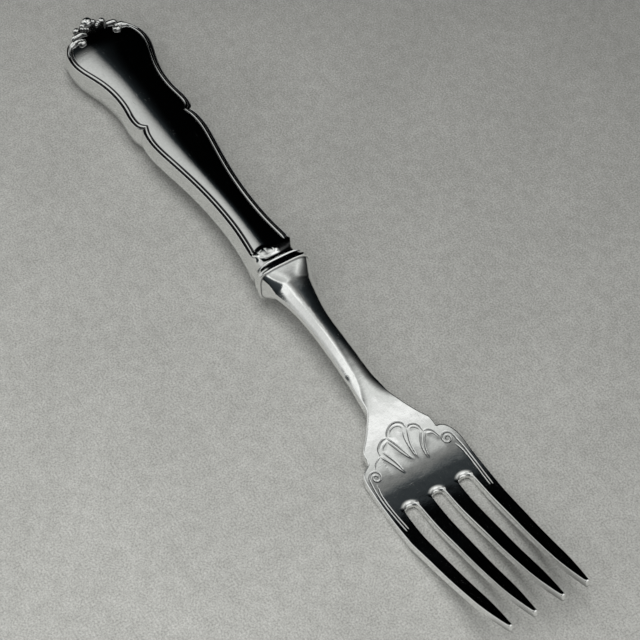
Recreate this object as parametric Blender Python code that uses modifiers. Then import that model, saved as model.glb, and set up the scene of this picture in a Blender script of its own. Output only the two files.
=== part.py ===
"""Fish fork of polished silver: a forged head whose tang is cemented into a hollow handle of two soldered shells.

All parts are drawn along the handle's axis, +X from the butt to the tines, with the seam of the handle at Z = 0.
The parent empty then lays the fork on a table, on the back of the handle and the belly of the blade.
Sizes are in millimetres and become metres in the meshes.
"""

import math

import bmesh
import bpy

MM = 0.001

# Handle in plan: places are measured from the butt end, widths are full widths at the seam
HANDLE_LENGTH = 87.0
BALL_LENGTH = 1.8
BALL_WIDTH = 3.3
BEAD_AT = 3.9
BEAD_WIDTH = 7.8
CREST_LENGTH = 6.0
CREST_WIDTH = 12.8
SCALLOP = 0.5
BUTT_AT = 13.0
BUTT_WIDTH = 20.2
WAIST_AT = 29.5
WAIST_WIDTH = 14.2
BRACKET_AT = 36.3
BRACKET_WIDTH = 15.2
NOTCH_AT = 39.8
NOTCH_WIDTH = 12.8
SHOULDER_AT = 44.4
SHOULDER_WIDTH = 14.5
THROAT_AT = 72.0
THROAT_WIDTH = 9.4
MOUTH_WIDTH = 11.0

# Handle in section: heights are full heights, of both shells
CREST_HEIGHT = 4.4
BUTT_HEIGHT = 7.5
THROAT_HEIGHT = 8.6
MOUTH_HEIGHT = 9.8
CROWN = 0.9
WALL = 0.6
CREST_WALL = 1.2
THREAD_INSET = 1.0
THREAD_PITCH = 1.0
THREAD_DEPTH = 0.22
SOLDER_FILM = 0.15
SOLDER_SETBACK = 0.05

# Collar between the handle's mouth and the bolster
COLLAR_LENGTH = 1.4
COLLAR_PROUD = 0.2
COLLAR_EDGE = 0.3

# Tang, and the clearances of the cement round it and inside the shells
TANG_LENGTH = 48.0
TANG_WIDTH = 4.6
TANG_HEIGHT = 3.8
TANG_TIP = 2.2
TANG_CORNER = 0.4
TANG_FIT = 0.3
CORE_FIT = 0.3

# Bolster and neck, from the bolster's back face
FLANGE_LENGTH = 0.9
FLANGE_WIDTH = 11.5
FLANGE_HEIGHT = 10.4
FLANGE_EDGE = 0.25
TRUMPET_LENGTH = 17.0
NECK_LENGTH = 32.0
NECK_WIDTH = 5.1
NECK_HEIGHT = 4.3

# Blade, from the end of the neck
FLARE_LENGTH = 11.2
FLARE_WIDTH = 15.7
CLEFT_LENGTH = 1.6
CLEFT_DEPTH = 0.35
VOLUTE_LENGTH = 4.4
BLADE_WIDTH = 22.3
BLADE_THICKNESS = 1.9
SLOT_ROOT = 24.0
EDGE_RADIUS = 0.45

# Tines, from the roots of the slots
TINE_LENGTH = 35.8
TINE_WIDTH = 3.0
POINT_LENGTH = 8.0
POINT_WIDTH = 1.9
TIP_WIDTH = 0.7
TIP_THICKNESS = 1.3
MIDDLE_SLOT = 3.1
TIP_GATHER = 2.7

# Side profile, below and above the handle's axis
NECK_EASE = 27.0
BELLY_EASE = 15.0
BELLY_DROP = 7.7
TIP_RISE = 9.3
TIP_SLOPE = math.radians(22.0)
TINE_EASE = 13.0

# Fineness of the curved surfaces
CURVE_STEPS = 6
CORNER_STEPS = 4

# Places along the axis
BOLSTER_X = HANDLE_LENGTH + COLLAR_LENGTH
TRUMPET_X = BOLSTER_X + FLANGE_LENGTH
NECK_X = TRUMPET_X + TRUMPET_LENGTH
NECK_END_X = BOLSTER_X + NECK_LENGTH
FLARE_X = NECK_END_X + FLARE_LENGTH
CLEFT_X = FLARE_X + CLEFT_LENGTH
VOLUTE_X = CLEFT_X + VOLUTE_LENGTH
ROOT_X = NECK_END_X + SLOT_ROOT
POINT_X = ROOT_X + TINE_LENGTH - POINT_LENGTH
TIP_X = ROOT_X + TINE_LENGTH

# Spacing of the tines, between the middles of each pair
INNER_SPACING = MIDDLE_SLOT + TINE_WIDTH
OUTER_SPACING = BLADE_WIDTH - TINE_WIDTH

# Shares that shape the border, the bolster and the blade
CREST_BORDER = 0.4
LIP = 0.15
TRUMPET_DROP = 0.45
FLARE_DROP = 0.45
BOX_ROUND = 0.75

SILVER = (0.83, 0.81, 0.78)


# Curves

def lerp(a, b, s):
    return a + (b - a) * s


def smooth(s):
    s = min(max(s, 0.0), 1.0)
    return s * s * (3.0 - 2.0 * s)


def cubic(a, b, c, d, s):
    return a * (1 - s) ** 3 + 3 * b * s * (1 - s) ** 2 + 3 * c * s * s * (1 - s) + d * s ** 3


def bezier(start, handle_a, handle_b, end, steps):
    """Points of a cubic curve, without its start."""
    shares = [i / steps for i in range(1, steps + 1)]
    return [tuple(cubic(*axis, s) for axis in zip(start, handle_a, handle_b, end)) for s in shares]


def level_curve(start, end, reach_a, reach_b, steps):
    """A curve that is level at both ends, with handles of the given shares of its length."""
    run = end[0] - start[0]
    return bezier(start, (start[0] + run * reach_a, start[1]), (end[0] - run * reach_b, end[1]), end, steps)


def ellipse_in(start, end, steps):
    """A quarter of an ellipse that leaves its start along X and reaches its end square to X."""
    angles = [0.5 * math.pi * i / steps for i in range(1, steps + 1)]
    return [(lerp(start[0], end[0], math.sin(a)), lerp(end[1], start[1], math.cos(a))) for a in angles]


def ellipse_out(start, end, steps):
    """A quarter of an ellipse that leaves its start square to X and reaches its end along X."""
    angles = [0.5 * math.pi * i / steps for i in range(1, steps + 1)]
    return [(lerp(end[0], start[0], math.cos(a)), lerp(start[1], end[1], math.sin(a))) for a in angles]


def scallop(start, end, bulge, steps):
    """A round that bulges to the left of the way from its start to its end."""
    run = math.dist(start, end)
    reach = bulge / 0.75 / run
    push = ((start[1] - end[1]) * reach, (end[0] - start[0]) * reach)
    handle_a = (start[0] + push[0], start[1] + push[1])
    handle_b = (end[0] + push[0], end[1] + push[1])
    return bezier(start, handle_a, handle_b, end, steps)


def height_on(x, start, handle_a, handle_b, end):
    """Height of a cubic curve over a place on its level axis."""
    low, high = 0.0, 1.0
    for _ in range(40):
        middle = (low + high) / 2
        if cubic(start[0], handle_a[0], handle_b[0], end[0], middle) < x:
            low = middle
        else:
            high = middle
    return cubic(start[1], handle_a[1], handle_b[1], end[1], low)


# Meshes and objects

def new_object(name, mesh_data, collection, parent):
    obj = bpy.data.objects.new(name, mesh_data)
    collection.objects.link(obj)
    obj.parent = parent
    return obj


def mesh_from(name, points, faces):
    """A mesh from points in millimetres, with coinciding points joined."""
    bm = bmesh.new()
    verts = [bm.verts.new([value * MM for value in point]) for point in points]
    for face in faces:
        bm.faces.new([verts[i] for i in face])
    bmesh.ops.remove_doubles(bm, verts=bm.verts, dist=1e-7)
    mesh_data = bpy.data.meshes.new(name)
    bm.to_mesh(mesh_data)
    bm.free()
    mesh_data.shade_smooth()
    mesh_data.set_sharp_from_angle(angle=math.radians(35))
    return mesh_data


def add_mirror(obj, axes):
    mirror = obj.modifiers.new("Mirror", "MIRROR")
    mirror.use_axis = axes
    mirror.merge_threshold = 0.00001


def grid_faces(rows, columns, first, flip=False):
    """Quads over a grid of points that is numbered row by row from first."""
    faces = []
    for k in range(rows - 1):
        for i in range(columns - 1):
            a = first + k * columns + i
            quad = (a, a + columns, a + columns + 1, a + 1)
            faces.append(quad[::-1] if flip else quad)
    return faces


def loft_faces(rings, sides, closed=False):
    """Quads between rings of points, with flat ends or, where closed, back to the first ring."""
    faces = []
    for k in range(rings if closed else rings - 1):
        for i in range(sides):
            j = (i + 1) % sides
            a, b = k * sides, (k + 1) % rings * sides
            faces.append((a + i, a + j, b + j, b + i))
    if not closed:
        faces.append(tuple(range(sides))[::-1])
        faces.append(tuple((rings - 1) * sides + i for i in range(sides)))
    return faces


def rounded_ring(x, half_width, half_height, radius, middle=0.0):
    """A rounded rectangle square to the axis, counter-clockwise as seen from the tines."""
    radius = min(radius, half_width, half_height)
    ring = []
    for corner in range(4):
        side_y = 1 if corner in (0, 3) else -1
        side_z = 1 if corner < 2 else -1
        for i in range(CORNER_STEPS + 1):
            angle = 0.5 * math.pi * (corner + i / CORNER_STEPS)
            y = side_y * (half_width - radius) + radius * math.cos(angle)
            z = side_z * (half_height - radius) + radius * math.sin(angle)
            ring.append((x, y, middle + z))
        if corner in (0, 2):
            ring.append((x, 0.0, middle + side_z * half_height))
    return ring


# Handle shells

def handle_outline():
    """Half of the handle's plan at the seam, from the tip of the crest to the mouth, and its count of crest points."""
    steps = CURVE_STEPS
    ball = (BALL_LENGTH, BALL_WIDTH / 2)
    bead = (BEAD_AT, BEAD_WIDTH / 2)
    crest = (CREST_LENGTH, CREST_WIDTH / 2)
    butt = (BUTT_AT, BUTT_WIDTH / 2)
    waist = (WAIST_AT, WAIST_WIDTH / 2)
    bracket = (BRACKET_AT, BRACKET_WIDTH / 2)
    notch = (NOTCH_AT, NOTCH_WIDTH / 2)
    shoulder = (SHOULDER_AT, SHOULDER_WIDTH / 2)
    throat = (THROAT_AT, THROAT_WIDTH / 2)
    mouth = (HANDLE_LENGTH, MOUTH_WIDTH / 2)
    points = [(0.0, 0.0)] + ellipse_out((0.0, 0.0), ball, steps - 2)
    points += scallop(ball, bead, SCALLOP, steps - 2) + scallop(bead, crest, SCALLOP, steps - 2)
    crest_count = len(points)
    points += ellipse_out(crest, butt, steps)
    points += level_curve(butt, waist, 0.3, 0.5, steps)
    points += level_curve(waist, bracket, 0.5, 0.4, steps - 2)
    points += ellipse_in(bracket, notch, steps - 1)
    points += ellipse_out(notch, shoulder, steps - 1)
    points += level_curve(shoulder, throat, 0.2, 0.5, steps)
    points += level_curve(throat, mouth, 0.5, 0.35, steps - 2)
    return points, crest_count


def inward_directions(outline):
    """Directions from the outline into the handle, eased over neighbours so that the notch stays a cusp."""
    raw = []
    for i in range(len(outline)):
        before = outline[max(i - 1, 0)]
        after = outline[min(i + 1, len(outline) - 1)]
        size = math.dist(before, after)
        raw.append(((after[1] - before[1]) / size, (before[0] - after[0]) / size))
    raw[0] = (1.0, 0.0)
    raw[-1] = (0.0, -1.0)
    eased = []
    for i in range(1, len(raw) - 1):
        near = raw[max(i - 2, 0):i + 3]
        x, y = sum(n[0] for n in near), sum(n[1] for n in near)
        size = math.hypot(x, y)
        eased.append((x / size, y / size))
    return [raw[0]] + eased + [raw[-1]]


def crest_fade(x):
    """Share of the border's full size: it dies away towards the crest."""
    return lerp(CREST_BORDER, 1.0, smooth((x - CREST_LENGTH) / (BUTT_AT - CREST_LENGTH)))


def panel_height(x):
    """Height of the crowned panel over the seam: low at the crest, and rising in two steps to the mouth."""
    body = lerp(BUTT_HEIGHT, THROAT_HEIGHT, smooth((x - BUTT_AT) / (SHOULDER_AT - BUTT_AT)))
    body = lerp(body, MOUTH_HEIGHT, smooth((x - SHOULDER_AT) / (HANDLE_LENGTH - SHOULDER_AT)) ** 2)
    return lerp(CREST_HEIGHT, body, math.sin(0.5 * math.pi * min(x / BUTT_AT, 1.0))) / 2


def border_profile():
    """The moulding from the seam inwards: inset, share of the shoulder's height, and rise above it."""
    groove = THREAD_INSET
    lip = THREAD_PITCH * LIP
    return (
        (0.0, 0.0, 0.0),
        (groove * 0.12, 0.42, 0.0),
        (groove * 0.45, 0.78, 0.0),
        (groove - lip, 1.0, 0.0),
        (groove, 1.0, -THREAD_DEPTH),
        (groove + lip, 1.0, 0.0),
        (groove + THREAD_PITCH / 2, 1.0, THREAD_DEPTH),
        (groove + THREAD_PITCH, 1.0, -THREAD_DEPTH / 2),
        (groove + THREAD_PITCH + lip, 1.0, THREAD_DEPTH / 2),
    )


def cavity_profile():
    """The smooth inside from its edge at the seam to the edge of the panel: inset and share of the height."""
    return ((0.0, 0.0), (WALL * 0.25, 0.36), (WALL, 0.7), (THREAD_INSET + THREAD_PITCH - WALL, 1.0))


def panel_rows(edge, roof, steps):
    """Rows from the edge of a panel over its crown to the handle's middle plane."""
    rows = []
    for k in range(1, steps + 1):
        s = k / steps
        rise = 1.0 - (1.0 - s) ** 2
        row = []
        for x, y, z in edge:
            middle = max(x, BUTT_AT)
            row.append((lerp(x, middle, s), y * (1.0 - s), lerp(z, roof(middle), rise)))
        rows.append(row)
    return rows


def outer_rows(outline, directions):
    rows = []
    for inset, share, rise in border_profile():
        row = []
        for (x, y), (dx, dy) in zip(outline, directions):
            fade = crest_fade(x)
            place_x = x + dx * inset * fade
            shoulder = panel_height(place_x) - CROWN * fade
            row.append((place_x, y + dy * inset * fade, shoulder * share + rise * fade))
        rows.append(row)
    return rows + panel_rows(rows[-1], panel_height, 3)


def cavity_rows(outline, directions, crest_count, gap):
    """The inside of a shell, or what fills it with a gap all round. It stops short of the crest, which is solid."""
    end_x = CREST_LENGTH + CREST_WALL + gap
    mouth_x = HANDLE_LENGTH - gap
    depth = WALL + gap
    corner_y = outline[crest_count][1] + directions[crest_count][1] * depth
    rows = []
    for inset, share in cavity_profile():
        row = []
        for i, ((x, y), (dx, dy)) in enumerate(zip(outline, directions)):
            if i < crest_count:
                place_x, place_y = end_x + inset, corner_y * i / crest_count
            else:
                place_x = min(max(x + dx * (depth + inset), end_x + inset), mouth_x)
                place_y = y + dy * (depth + inset)
            shoulder = panel_height(place_x) - CROWN - depth
            row.append((place_x, place_y, shoulder * share))
        rows.append(row)
    return rows + panel_rows(rows[-1], lambda x: panel_height(x) - depth, 2)


def shell_mesh():
    """One half of the hollow handle, on the +Y side, open at the middle plane for the mirror."""
    outline, crest_count = handle_outline()
    directions = inward_directions(outline)
    outer = outer_rows(outline, directions)
    inner = cavity_rows(outline, directions, crest_count, 0.0)
    columns = len(outline)
    inner_first = len(outer) * columns
    points = [point for row in outer + inner for point in row]
    faces = grid_faces(len(outer), columns, 0)
    faces += grid_faces(len(inner), columns, inner_first, flip=True)
    faces += [(i, i + 1, inner_first + i + 1, inner_first + i) for i in range(columns - 1)]
    outer_end = [k * columns + columns - 1 for k in range(len(outer))]
    inner_end = [inner_first + k * columns + columns - 1 for k in range(len(inner))]
    faces.append(tuple(outer_end + inner_end[::-1]))
    return mesh_from("handle_shell", points, faces)


def solder_mesh():
    """The film between the rims of the shells, on the +Y side."""
    outline, crest_count = handle_outline()
    directions = inward_directions(outline)
    inner = cavity_rows(outline, directions, crest_count, 0.0)[0]
    edge = [(x + dx * SOLDER_SETBACK, y + dy * SOLDER_SETBACK) for (x, y), (dx, dy) in zip(outline, directions)]
    low, high = -SOLDER_FILM / 2, SOLDER_FILM / 2
    rows = [
        [(x, y, low) for x, y in edge],
        [(x, y, high) for x, y in edge],
        [(x, y, high) for x, y, _ in inner],
        [(x, y, low) for x, y, _ in inner],
    ]
    rows.append(rows[0])
    columns = len(edge)
    points = [point for row in rows for point in row]
    faces = grid_faces(len(rows), columns, 0)
    faces.append(tuple(k * columns + columns - 1 for k in range(4)))
    return mesh_from("seam_solder", points, faces)


def core_mesh():
    """A quarter of the cement, open at the middle plane and at the seam for the mirror."""
    outline, crest_count = handle_outline()
    rows = cavity_rows(outline, inward_directions(outline), crest_count, CORE_FIT)
    columns = len(outline)
    points = [point for row in rows for point in row]
    faces = grid_faces(len(rows), columns, 0)
    end = [k * columns + columns - 1 for k in range(len(rows))]
    points.append((HANDLE_LENGTH - CORE_FIT, 0.0, 0.0))
    faces.append(tuple(end + [len(points) - 1]))
    return mesh_from("resin_core", points, faces)


# Tang, bolster, neck and blade

def tang_rings(fit, tip_x, root_x):
    """The tapered tang, or the pocket round it."""
    tip = rounded_ring(tip_x, TANG_TIP / 2 + fit, TANG_TIP / 2 + fit, TANG_CORNER)
    root = rounded_ring(root_x, TANG_WIDTH / 2 + fit, TANG_HEIGHT / 2 + fit, TANG_CORNER)
    return [tip, root]


def tine_half_width(x):
    """Tines narrow steadily to their points, which round in to blunt tips."""
    if x < POINT_X:
        return lerp(TINE_WIDTH, POINT_WIDTH, (x - ROOT_X) / (POINT_X - ROOT_X)) / 2
    s = min((x - POINT_X) / POINT_LENGTH, 1.0)
    return lerp(TIP_WIDTH, POINT_WIDTH, math.sqrt(1.0 - s * s)) / 2


def outer_tine_middle(x):
    return lerp(OUTER_SPACING, OUTER_SPACING - TIP_GATHER, min((x - ROOT_X) / TINE_LENGTH, 1.0)) / 2


def head_outline():
    """Half-widths along the head, from the trumpet of the bolster to the tips."""
    steps = CURVE_STEPS
    rim = (TRUMPET_X, FLANGE_WIDTH / 2 - FLANGE_EDGE)
    neck = (NECK_X, NECK_WIDTH / 2)
    neck_end = (NECK_END_X, NECK_WIDTH / 2)
    flare = (FLARE_X, FLARE_WIDTH / 2)
    cleft = (CLEFT_X, FLARE_WIDTH / 2 - CLEFT_DEPTH)
    volute = (VOLUTE_X, BLADE_WIDTH / 2)
    rim_handle = (TRUMPET_X + TRUMPET_LENGTH * 0.05, lerp(rim[1], neck[1], TRUMPET_DROP))
    neck_handle = (NECK_X - TRUMPET_LENGTH * 0.6, neck[1])
    points = [rim] + bezier(rim, rim_handle, neck_handle, neck, steps + 2)
    points += level_curve(neck, neck_end, 0.3, 0.3, steps - 3)
    flare_handle = (FLARE_X - FLARE_LENGTH * 0.28, lerp(neck_end[1], flare[1], FLARE_DROP))
    points += bezier(neck_end, (NECK_END_X + FLARE_LENGTH * 0.54, neck_end[1]), flare_handle, flare, steps + 2)
    points += level_curve(flare, cleft, 0.3, 0.3, 2)
    points += ellipse_out(cleft, volute, steps)
    points.append((lerp(VOLUTE_X, ROOT_X, 0.5), BLADE_WIDTH / 2))
    shaft = [lerp(ROOT_X, POINT_X, i / steps) for i in range(steps + 1)]
    point = [lerp(POINT_X, TIP_X, math.sin(0.5 * math.pi * i / steps)) for i in range(1, steps + 1)]
    points += [(x, outer_tine_middle(x) + tine_half_width(x)) for x in shaft + point]
    return points


def half_thickness(x):
    if x < NECK_X:
        s = (x - TRUMPET_X) / TRUMPET_LENGTH
        return lerp(FLANGE_HEIGHT / 2 - FLANGE_EDGE, NECK_HEIGHT / 2, 1.0 - (1.0 - s) ** 3)
    if x < VOLUTE_X:
        return lerp(NECK_HEIGHT, BLADE_THICKNESS, smooth((x - NECK_X) / (VOLUTE_X - NECK_X))) / 2
    return lerp(BLADE_THICKNESS, TIP_THICKNESS, (x - VOLUTE_X) / (TIP_X - VOLUTE_X)) / 2


def corner_radius(x):
    """Round in the neck and easing to the thin rounded edge of the blade."""
    full = half_thickness(x)
    return lerp(full, min(EDGE_RADIUS, full), smooth((x - NECK_END_X) / (FLARE_X - NECK_END_X)))


def spine_height(x):
    """The middle of the head in side view: it dips from the neck to the belly and sweeps up to the tips."""
    start_x = TRUMPET_X + TRUMPET_LENGTH / 2
    if x <= start_x:
        return 0.0
    if x < ROOT_X:
        dip = ((start_x, 0.0), (start_x + NECK_EASE, 0.0), (ROOT_X - BELLY_EASE, -BELLY_DROP), (ROOT_X, -BELLY_DROP))
        return height_on(x, *dip)
    tip = (TIP_X, TIP_RISE - BELLY_DROP)
    tip_handle = (TIP_X - TINE_EASE * math.cos(TIP_SLOPE), tip[1] - TINE_EASE * math.sin(TIP_SLOPE))
    return height_on(x, (ROOT_X, -BELLY_DROP), (ROOT_X + TINE_EASE, -BELLY_DROP), tip_handle, tip)


def flange_rings():
    rings = []
    for share, inset in ((0.0, FLANGE_EDGE), (0.3, 0.0), (0.7, 0.0)):
        half_width, half_height = FLANGE_WIDTH / 2 - inset, FLANGE_HEIGHT / 2 - inset
        x = BOLSTER_X + FLANGE_LENGTH * share
        rings.append(rounded_ring(x, half_width, half_height, half_height * BOX_ROUND))
    return rings


def head_mesh():
    rings = tang_rings(0.0, BOLSTER_X - TANG_LENGTH, BOLSTER_X) + flange_rings()
    for x, half_width in head_outline():
        rings.append(rounded_ring(x, half_width, half_thickness(x), corner_radius(x), spine_height(x)))
    sides = len(rings[0])
    points = [point for ring in rings for point in ring]
    return mesh_from("fork_head", points, loft_faces(len(rings), sides))


def slot_outline(left, right):
    """A slot between the edges of two tines, with a round root, open past the tips."""
    steps = 3 * CURVE_STEPS
    turns = 2 * CORNER_STEPS + 1
    half = (left(ROOT_X) - right(ROOT_X)) / 2
    middle = (left(ROOT_X) + right(ROOT_X)) / 2
    start_x = ROOT_X + abs(half)
    places = [lerp(start_x, TIP_X, math.sin(0.5 * math.pi * i / steps)) for i in range(steps + 1)]
    root = []
    for i in range(1, turns):
        angle = math.pi * i / turns
        root.append((start_x - abs(half) * math.sin(angle), middle - half * math.cos(angle)))
    past = TIP_X + TIP_WIDTH
    side_a = [(past, right(TIP_X))] + [(x, right(x)) for x in places[::-1]]
    side_b = [(x, left(x)) for x in places] + [(past, left(TIP_X))]
    return side_a + root + side_b


def slot_mesh(name, outline):
    """The outline of a slot, raised through the whole height of the head."""
    reach = BELLY_DROP + TIP_RISE + BLADE_THICKNESS
    bm = bmesh.new()
    face = bm.faces.new([bm.verts.new((x * MM, y * MM, -reach * MM)) for x, y in outline])
    raised = bmesh.ops.extrude_face_region(bm, geom=[face])["geom"]
    up = [item for item in raised if isinstance(item, bmesh.types.BMVert)]
    bmesh.ops.translate(bm, verts=up, vec=(0.0, 0.0, 2 * reach * MM))
    bmesh.ops.recalc_face_normals(bm, faces=bm.faces)
    mesh_data = bpy.data.meshes.new(name)
    bm.to_mesh(mesh_data)
    bm.free()
    return mesh_data


def collar_mesh():
    """A boxy oval band with a rounded edge, pierced for the tang."""
    half_width = MOUTH_WIDTH / 2 + COLLAR_PROUD
    half_height = MOUTH_HEIGHT / 2 + COLLAR_PROUD
    ends = ((HANDLE_LENGTH, COLLAR_EDGE), (HANDLE_LENGTH + COLLAR_EDGE, 0.0))
    ends += ((BOLSTER_X - COLLAR_EDGE, 0.0), (BOLSTER_X, COLLAR_EDGE))
    rings = []
    for x, inset in ends:
        rings.append(rounded_ring(x, half_width - inset, half_height - inset, half_height * BOX_ROUND))
    hole = (TANG_WIDTH / 2 + TANG_FIT, TANG_HEIGHT / 2 + TANG_FIT, TANG_CORNER)
    rings.append(rounded_ring(BOLSTER_X, *hole))
    rings.append(rounded_ring(HANDLE_LENGTH, *hole))
    points = [point for ring in rings for point in ring]
    return mesh_from("mouth_collar", points, loft_faces(len(rings), len(rings[0]), closed=True))


# Assembly

def finish(name, colour, roughness, metallic):
    material = bpy.data.materials.new(name)
    material.use_nodes = True
    shader = material.node_tree.nodes["Principled BSDF"]
    shader.inputs["Base Color"].default_value = (*colour, 1.0)
    shader.inputs["Roughness"].default_value = roughness
    shader.inputs["Metallic"].default_value = metallic
    return material


def cut(obj, cutter):
    boolean = obj.modifiers.new(cutter.name, "BOOLEAN")
    boolean.operation = "DIFFERENCE"
    boolean.object = cutter


def build_handle(parts, fork):
    shell = shell_mesh()
    shell.materials.append(finish("handle_silver", SILVER, 0.14, 1.0))
    for name, turn, side in (("handle_front_shell", 0.0, 1.0), ("handle_back_shell", math.pi, -1.0)):
        half = new_object(name, shell, parts, fork)
        half.location.z = side * SOLDER_FILM / 2 * MM
        half.rotation_euler.x = turn
        add_mirror(half, (False, True, False))
    solder = new_object("seam_solder", solder_mesh(), parts, fork)
    solder.data.materials.append(finish("solder_grey", (0.62, 0.61, 0.59), 0.4, 1.0))
    add_mirror(solder, (False, True, False))


def build_core(parts, cutters, fork):
    core = new_object("resin_core", core_mesh(), parts, fork)
    core.data.materials.append(finish("resin_brown", (0.10, 0.055, 0.03), 0.55, 0.0))
    add_mirror(core, (False, True, True))
    rings = tang_rings(TANG_FIT, BOLSTER_X - TANG_LENGTH - TANG_FIT, BOLSTER_X)
    points = [point for ring in rings for point in ring]
    pocket_mesh = mesh_from("tang_pocket", points, loft_faces(len(rings), len(rings[0])))
    cut(core, new_object("tang_pocket", pocket_mesh, cutters, fork))


def build_head(parts, cutters, fork):
    head = new_object("fork_head", head_mesh(), parts, fork)
    head.data.materials.append(finish("head_silver", SILVER, 0.12, 1.0))
    collar = new_object("mouth_collar", collar_mesh(), parts, fork)
    collar.data.materials.append(finish("collar_silver", SILVER, 0.18, 1.0))

    def inner_edge(x):
        return INNER_SPACING / 2 + tine_half_width(x)

    def outer_edge(x):
        return outer_tine_middle(x) - tine_half_width(x)

    def middle_edge(x):
        return INNER_SPACING / 2 - tine_half_width(x)

    slots = {
        "left_slot": slot_outline(outer_edge, inner_edge),
        "middle_slot": slot_outline(middle_edge, lambda x: -middle_edge(x)),
        "right_slot": slot_outline(lambda x: -inner_edge(x), lambda x: -outer_edge(x)),
    }
    for name, outline in slots.items():
        cut(head, new_object(name, slot_mesh(name, outline), cutters, fork))


def lay_on_table(fork, parts):
    """Tips the fork until the handle's back and the blade's belly touch one level plane, at Z = 0 under its middle."""
    places = {}
    for obj in parts.objects:
        places[obj.name] = [obj.matrix_basis @ vert.co for vert in obj.data.vertices]
    tilt = 0.0
    for _ in range(20):
        low = {}
        for name in ("handle_back_shell", "fork_head"):
            low[name] = min(places[name], key=lambda p: p.z * math.cos(tilt) + p.x * math.sin(tilt))
        run = low["fork_head"] - low["handle_back_shell"]
        tilt = -math.atan2(run.z, run.x)
    turned = [
        (p.x * math.cos(tilt) - p.z * math.sin(tilt), p.z * math.cos(tilt) + p.x * math.sin(tilt))
        for group in places.values() for p in group
    ]
    lengths = [x for x, _ in turned]
    fork.rotation_euler.y = -tilt
    fork.location.x = -(min(lengths) + max(lengths)) / 2
    fork.location.z = -min(z for _, z in turned)


def main():
    for obj in list(bpy.data.objects):
        bpy.data.objects.remove(obj)
    parts = bpy.data.collections.new("fish_fork")
    cutters = bpy.data.collections.new("fish_fork_cutters")
    for collection in (parts, cutters):
        bpy.context.scene.collection.children.link(collection)
    fork = bpy.data.objects.new("fish_fork", None)
    bpy.context.scene.collection.objects.link(fork)
    build_head(parts, cutters, fork)
    build_handle(parts, fork)
    build_core(parts, cutters, fork)
    for cutter in cutters.objects:
        cutter.hide_render = True
        cutter.display_type = "WIRE"
    lay_on_table(fork, parts)


main()
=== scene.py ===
import math

import bpy
import numpy as np
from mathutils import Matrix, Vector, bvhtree, kdtree


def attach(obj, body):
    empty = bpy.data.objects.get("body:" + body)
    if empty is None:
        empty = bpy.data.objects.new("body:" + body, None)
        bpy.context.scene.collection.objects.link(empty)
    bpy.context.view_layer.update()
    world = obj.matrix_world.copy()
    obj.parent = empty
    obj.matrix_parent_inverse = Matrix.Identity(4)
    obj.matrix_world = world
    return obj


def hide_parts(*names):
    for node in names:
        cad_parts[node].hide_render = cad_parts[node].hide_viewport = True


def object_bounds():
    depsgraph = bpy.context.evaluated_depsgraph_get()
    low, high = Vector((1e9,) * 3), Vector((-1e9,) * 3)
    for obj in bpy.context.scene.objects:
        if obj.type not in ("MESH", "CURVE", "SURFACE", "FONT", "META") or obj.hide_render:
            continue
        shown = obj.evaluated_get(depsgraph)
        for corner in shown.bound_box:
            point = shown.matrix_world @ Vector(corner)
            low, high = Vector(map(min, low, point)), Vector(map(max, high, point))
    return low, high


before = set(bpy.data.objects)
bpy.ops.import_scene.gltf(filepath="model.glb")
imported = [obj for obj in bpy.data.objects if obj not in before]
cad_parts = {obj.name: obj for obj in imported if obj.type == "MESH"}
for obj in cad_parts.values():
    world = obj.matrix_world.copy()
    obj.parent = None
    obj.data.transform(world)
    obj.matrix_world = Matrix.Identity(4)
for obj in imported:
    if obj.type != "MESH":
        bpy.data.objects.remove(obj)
cad_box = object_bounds()
scene = bpy.context.scene

# The fork is drawn in millimetres along the handle's axis, +X from butt to tines, with the seam at Z = 0.
# The tilt and the place of the butt then lay it on the table as the solids lie.
MM = 0.001
TILT = 0.0364099
BUTT_X = -90.0216
SEAM_Z = 3.3492

# Handle in plan: places from the butt end, and full widths at the seam
HANDLE_LENGTH = 87.0
BALL_LENGTH = 1.8
BALL_WIDTH = 3.3
BEAD_AT = 3.9
BEAD_WIDTH = 7.8
CREST_LENGTH = 6.0
CREST_WIDTH = 12.8
SCALLOP = 0.5
BUTT_AT = 13.0
BUTT_WIDTH = 20.2
WAIST_AT = 29.5
WAIST_WIDTH = 14.2
BRACKET_AT = 36.3
BRACKET_WIDTH = 15.2
NOTCH_AT = 39.8
NOTCH_WIDTH = 12.8
SHOULDER_AT = 44.4
SHOULDER_WIDTH = 14.5
THROAT_AT = 72.0
THROAT_WIDTH = 9.2
MOUTH_WIDTH = 11.0

# Handle in section
CREST_HEIGHT = 4.4
BUTT_HEIGHT = 7.5
THROAT_HEIGHT = 8.6
MOUTH_HEIGHT = 9.8
CROWN = 0.9
WALL = 0.6
WALL_ROUND = 0.3
WALL_LEAN = 0.36
CREST_WALL = 1.2
INNER_SHOULDER = 1.4
SOLDER_FILM = 0.15

# Wall of the back shell: it leans in from before the bracket to the leaf
BACK_DRAFT = 1.2
DRAFT_START = BRACKET_AT - 6.0
DRAFT_RISE = 18.0
DRAFT_END = 76.6
DRAFT_FALL = 8.0

# Panel: rise for its half-width, least rise, inset from the plan, easing of its width, length of its climb
PANEL_CROWN = 0.115
PANEL_LOW = -0.25
PANEL_INSET = 2.1
PANEL_EASE = 5.0
PANEL_CLIMB = BUTT_AT + 2.0

# Threads: their width under the crest; and the painted shade that darkens the ground there
CREST_BORDER = 0.4
CREST_PAINTED_SHADE = 0.75

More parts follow.
